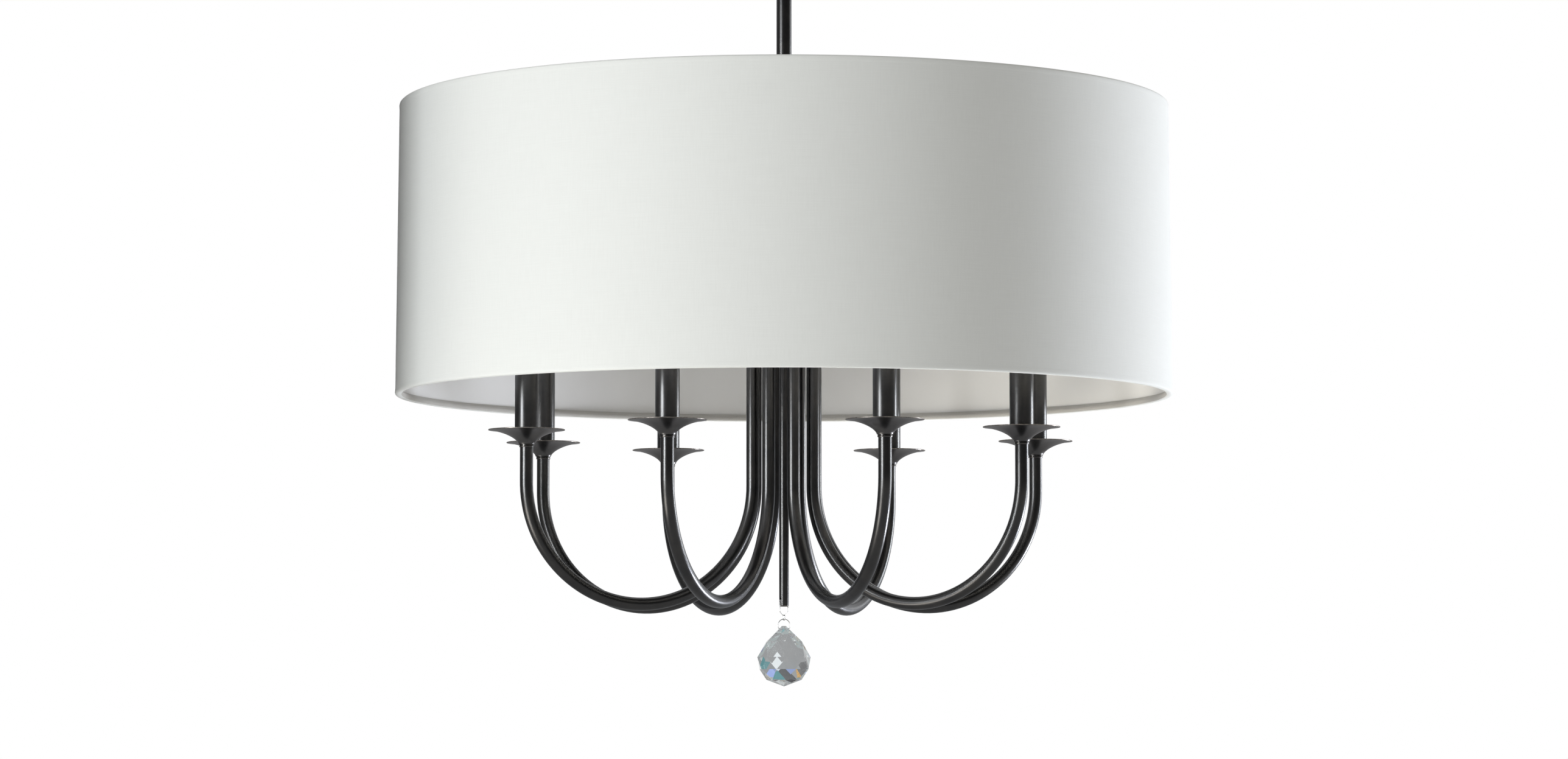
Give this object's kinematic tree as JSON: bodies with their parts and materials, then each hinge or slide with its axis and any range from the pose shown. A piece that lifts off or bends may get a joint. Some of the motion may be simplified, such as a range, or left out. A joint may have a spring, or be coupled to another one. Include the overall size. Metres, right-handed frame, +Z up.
{
  "type": "drum shade chandelier",
  "caption": "Ceiling chandelier: drum shade over curved tube arms with candle sleeves and drip dishes, and a crystal drop on a centre rod.",
  "frame": {"origin": "middle of the ceiling bar's top face, where the light is fixed to the ceiling", "axes": "+Z up through the ceiling, front of the picture towards -Y, +X to its right"},
  "size_m": [0.762, 0.762, 0.9248],
  "materials": {
    "dark_bronze": "dark gunmetal bronze, satin metallic",
    "plated_steel": "zinc plated",
    "shade_cloth": "off-white fine weave cloth on a stiff liner",
    "socket_plastic": "black phenolic",
    "wire_steel": "bright wire",
    "crystal": "clear cut crystal"
  },
  "bodies": {
    "ceiling_end": {"ceiling_bar": "plated_steel", "stud_1": "plated_steel", "stud_2": "plated_steel", "canopy": "dark_bronze", "cap_nut_1": "dark_bronze", "cap_nut_2": "dark_bronze"},
    "swivel": {"swivel_fork": "dark_bronze", "canopy_nut": "plated_steel", "swivel_pin": "plated_steel"},
    "light": {"swivel_tongue": "dark_bronze", "stem": "dark_bronze", "centre_pipe": "plated_steel", "shade_nut": "dark_bronze", "shade_fitter": "plated_steel", "shade_wall": "shade_cloth", "shade_top_hem": "shade_cloth", "shade_bottom_hem": "shade_cloth", "shade_bottom_ring": "plated_steel", "column": "dark_bronze", "hub_cover": "dark_bronze", "hub_plate": "dark_bronze", "lower_rod": "dark_bronze", "arm_1": "dark_bronze", "arm_2": "dark_bronze", "arm_3": "dark_bronze", "arm_4": "dark_bronze", "arm_5": "dark_bronze", "arm_6": "dark_bronze", "arm_7": "dark_bronze", "arm_8": "dark_bronze", "drip_dish_1": "dark_bronze", "drip_dish_2": "dark_bronze", "drip_dish_3": "dark_bronze", "drip_dish_4": "dark_bronze", "drip_dish_5": "dark_bronze", "drip_dish_6": "dark_bronze", "drip_dish_7": "dark_bronze", "drip_dish_8": "dark_bronze", "candle_sleeve_1": "dark_bronze", "candle_sleeve_2": "dark_bronze", "candle_sleeve_3": "dark_bronze", "candle_sleeve_4": "dark_bronze", "candle_sleeve_5": "dark_bronze", "candle_sleeve_6": "dark_bronze", "candle_sleeve_7": "dark_bronze", "candle_sleeve_8": "dark_bronze", "lamp_socket_1": "socket_plastic", "lamp_socket_2": "socket_plastic", "lamp_socket_3": "socket_plastic", "lamp_socket_4": "socket_plastic", "lamp_socket_5": "socket_plastic", "lamp_socket_6": "socket_plastic", "lamp_socket_7": "socket_plastic", "lamp_socket_8": "socket_plastic"},
    "bail": {"hook_bail": "wire_steel"},
    "link": {"hook_link": "wire_steel"},
    "stirrup": {"crystal_stirrup": "wire_steel"},
    "crystal": {"crystal_ball": "crystal"}
  },
  "joints": [
    {"name": "swivel_turn", "type": "hinge", "parent": "ceiling_end", "child": "swivel", "pos_m": [0, 0, -0.0473], "axis": [0, 0, 1], "range_deg": [-170, 170]},
    {"name": "swivel_tilt", "type": "hinge", "parent": "swivel", "child": "light", "pos_m": [0, 0, -0.0473], "axis": [1, 0, 0], "range_deg": [-45, 45]},
    {"name": "bail_swing", "type": "hinge", "parent": "light", "child": "bail", "pos_m": [0, 0, -0.83965], "axis": [0.6756, 0.7373, 0], "range_deg": [-45, 45]},
    {"name": "link_swing", "type": "hinge", "parent": "bail", "child": "link", "pos_m": [0, 0, -0.85615], "axis": [0.6756, 0.7373, 0], "range_deg": [-35, 35]},
    {"name": "stirrup_swing", "type": "hinge", "parent": "link", "child": "stirrup", "pos_m": [0, 0, -0.86015], "axis": [-0.6428, 0.766, 0], "range_deg": [-25, 25]},
    {"name": "crystal_swing", "type": "hinge", "parent": "stirrup", "child": "crystal", "pos_m": [0, 0, -0.86815], "axis": [1, 0, 0], "range_deg": [-40, 40]}
  ]
}
